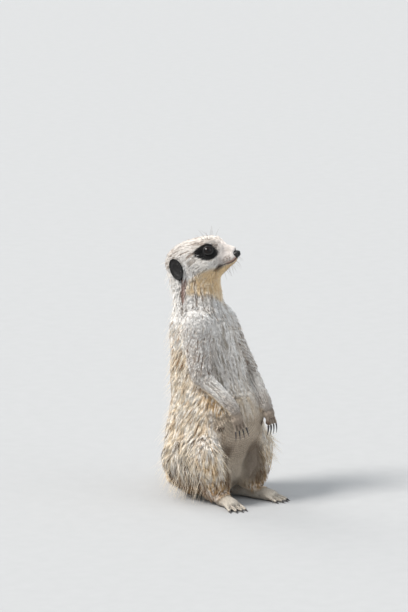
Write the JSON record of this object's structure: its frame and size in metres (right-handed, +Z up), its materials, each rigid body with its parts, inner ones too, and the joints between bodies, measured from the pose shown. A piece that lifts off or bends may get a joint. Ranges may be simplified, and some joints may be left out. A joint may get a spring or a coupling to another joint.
{
  "type": "meerkat",
  "caption": "Life-size adult meerkat sitting upright on its haunches, forepaws hanging before its belly, head turned to its left, tail laid round on the floor; a still model.",
  "frame": {"origin": "on the floor, at the middle of the whole model's footprint, tail included", "axes": "+Z up, the breast faces -Y and the animal's left side is +X; the head is turned 27 degrees to its left"},
  "size_m": [0.2034, 0.203, 0.263],
  "materials": {
    "coat": "shaggy fur",
    "face_coat": "short fur",
    "ear": "short black fur over thin skin",
    "tail_tip": "dark fur",
    "nose": "moist pebbled skin",
    "eye": "wet gloss",
    "claw": "smooth horn"
  },
  "bodies": {
    "root": {"trunk": "coat", "neck": "coat", "head": "face_coat", "nose": "nose", "eye_right": "eye", "ear_right": "ear", "eye_left": "eye", "ear_left": "ear", "upper_arm_right": "coat", "forearm_right": "coat", "hand_right": "coat", "thigh_right": "coat", "lower_leg_right": "coat", "foot_right": "coat", "upper_arm_left": "coat", "forearm_left": "coat", "hand_left": "coat", "thigh_left": "coat", "lower_leg_left": "coat", "foot_left": "coat", "tail_base": "coat", "tail_middle": "coat", "tail_tip": "tail_tip", "claw_hand_right_1": "claw", "claw_hand_right_2": "claw", "claw_hand_right_3": "claw", "claw_hand_right_4": "claw", "claw_hand_left_1": "claw", "claw_hand_left_2": "claw", "claw_hand_left_3": "claw", "claw_hand_left_4": "claw", "claw_foot_right_1": "claw", "claw_foot_right_2": "claw", "claw_foot_right_3": "claw", "claw_foot_right_4": "claw", "claw_foot_left_1": "claw", "claw_foot_left_2": "claw", "claw_foot_left_3": "claw", "claw_foot_left_4": "claw"}
  },
  "joints": []
}
